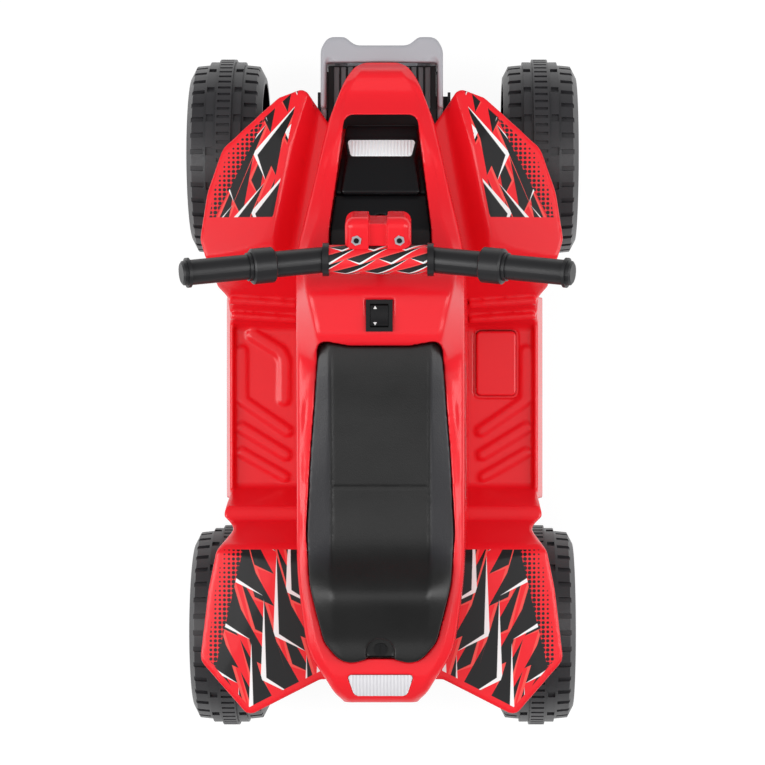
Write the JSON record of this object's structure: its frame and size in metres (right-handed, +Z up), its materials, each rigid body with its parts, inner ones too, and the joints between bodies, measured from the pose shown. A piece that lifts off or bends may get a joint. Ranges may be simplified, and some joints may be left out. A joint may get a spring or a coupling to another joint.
{
  "type": "kids quad bike",
  "caption": "Child's battery quad bike: moulded body with fenders and footwells, steered front wheels, one geared rear wheel, foot pedal and rocker switch.",
  "frame": {"origin": "centre of the object's box on the floor, under the tyres", "axes": "+X to the rider's right, +Y forward, +Z up"},
  "size_m": [0.403, 0.711, 0.4432],
  "materials": {
    "red_plastic": "glossy moulded plastic",
    "black_plastic": "satin grained plastic",
    "tyre_plastic": "satin moulded plastic",
    "grey_plastic": "silver-grey moulded plastic",
    "clear_plastic": "clear fluted plastic",
    "steel": "zinc-plated steel",
    "nylon": "natural nylon",
    "circuit_board": "printed circuit board"
  },
  "bodies": {
    "chassis": {"lower_body": "red_plastic", "centre_cowl": "red_plastic", "tail_light_lens": "clear_plastic", "seat": "black_plastic", "seat_screw": "steel", "headlight_housing": "black_plastic", "headlight_lens": "clear_plastic", "headlight_board": "circuit_board", "tail_light_board": "circuit_board", "column_shroud": "black_plastic", "chassis_tray": "black_plastic", "front_bumper": "grey_plastic", "bumper_screws": "steel", "column_bush": "nylon", "kingpin_bolts": "steel", "rear_axle": "steel", "axle_spacer": "steel", "rear_axle_nuts": "steel", "gearbox_inner_case": "black_plastic", "gearbox_outer_case": "black_plastic", "reduction_shaft": "steel", "drive_motor": "steel", "battery": "black_plastic", "battery_strap": "steel", "charging_socket": "black_plastic", "pedal_box": "black_plastic", "pedal_pin": "steel", "pedal_switch": "black_plastic", "switch_bezel": "black_plastic", "tray_screws": "steel"},
    "steering": {"steering_column": "steel", "handlebar_front_half": "black_plastic", "handlebar_rear_half": "black_plastic", "handlebar_pod": "red_plastic", "handlebar_bolt": "steel"},
    "left_knuckle": {"left_knuckle": "steel", "left_front_axle_nut": "steel"},
    "right_knuckle": {"right_knuckle": "steel", "right_front_axle_nut": "steel"},
    "tie_rod": {"tie_rod": "steel"},
    "front_left_wheel": {"front_left_wheel": "tyre_plastic", "front_left_hub_cap": "grey_plastic", "front_left_wheel_bush": "nylon"},
    "front_right_wheel": {"front_right_wheel": "tyre_plastic", "front_right_hub_cap": "grey_plastic", "front_right_wheel_bush": "nylon"},
    "rear_left_wheel": {"rear_left_wheel": "tyre_plastic", "rear_left_hub_cap": "grey_plastic", "rear_left_wheel_bush": "nylon"},
    "rear_right_wheel": {"rear_right_wheel": "tyre_plastic", "rear_right_hub_cap": "grey_plastic", "rear_right_wheel_bush": "nylon", "output_gear": "nylon"},
    "reduction_gear": {"reduction_gear": "nylon"},
    "motor_pinion": {"motor_pinion": "nylon"},
    "foot_pedal": {"foot_pedal": "black_plastic"},
    "rocker": {"rocker": "black_plastic"}
  },
  "joints": [
    {"name": "steering_turn", "type": "hinge", "parent": "chassis", "child": "steering", "pos_m": [0, 0.21235, 0.11], "axis": [0, -0.309, 0.9511], "range_deg": [-20, 20]},
    {"name": "left_steer", "type": "hinge", "parent": "chassis", "child": "left_knuckle", "pos_m": [-0.112, 0.2415, 0.105], "axis": [0, 0, 1], "range_deg": [-20, 20]},
    {"name": "right_steer", "type": "hinge", "parent": "chassis", "child": "right_knuckle", "pos_m": [0.112, 0.2415, 0.105], "axis": [0, 0, 1], "range_deg": [-20, 20]},
    {"name": "tie_rod_pivot", "type": "hinge", "parent": "left_knuckle", "child": "tie_rod", "pos_m": [-0.112, 0.2015, 0.0925], "axis": [0, 0, 1], "range_deg": [-20, 20]},
    {"name": "front_left_spin", "type": "hinge", "parent": "left_knuckle", "child": "front_left_wheel", "pos_m": [-0.163, 0.2415, 0.105], "axis": [1, 0, 0], "continuous": true},
    {"name": "front_right_spin", "type": "hinge", "parent": "right_knuckle", "child": "front_right_wheel", "pos_m": [0.163, 0.2415, 0.105], "axis": [1, 0, 0], "continuous": true},
    {"name": "rear_left_spin", "type": "hinge", "parent": "chassis", "child": "rear_left_wheel", "pos_m": [-0.16, -0.2505, 0.105], "axis": [1, 0, 0], "continuous": true},
    {"name": "rear_right_spin", "type": "hinge", "parent": "chassis", "child": "rear_right_wheel", "pos_m": [0.16, -0.2505, 0.105], "axis": [1, 0, 0], "continuous": true},
    {"name": "reduction_spin", "type": "hinge", "parent": "chassis", "child": "reduction_gear", "pos_m": [0, -0.2272, 0.13277], "axis": [1, 0, 0], "continuous": true},
    {"name": "pinion_spin", "type": "hinge", "parent": "chassis", "child": "motor_pinion", "pos_m": [0, -0.19314, 0.14517], "axis": [1, 0, 0], "continuous": true},
    {"name": "pedal_press", "type": "hinge", "parent": "chassis", "child": "foot_pedal", "pos_m": [0.118, -0.0025, 0.111], "axis": [1, 0, 0], "range_deg": [-6, 0], "stiffness_Nm_per_rad": 1.2, "springref_deg": 6.88},
    {"name": "rocker_tilt", "type": "hinge", "parent": "chassis", "child": "rocker", "pos_m": [0, 0.0705, 0.336], "axis": [1, 0, 0], "range_deg": [-9, 9]}
  ],
  "couplings": [
    {"joint": "left_steer", "follows": "steering_turn", "ratio": 1},
    {"joint": "right_steer", "follows": "steering_turn", "ratio": 1},
    {"joint": "tie_rod_pivot", "follows": "steering_turn", "ratio": -1},
    {"joint": "reduction_spin", "follows": "rear_right_spin", "ratio": -3.1429},
    {"joint": "pinion_spin", "follows": "rear_right_spin", "ratio": 9.8776}
  ]
}
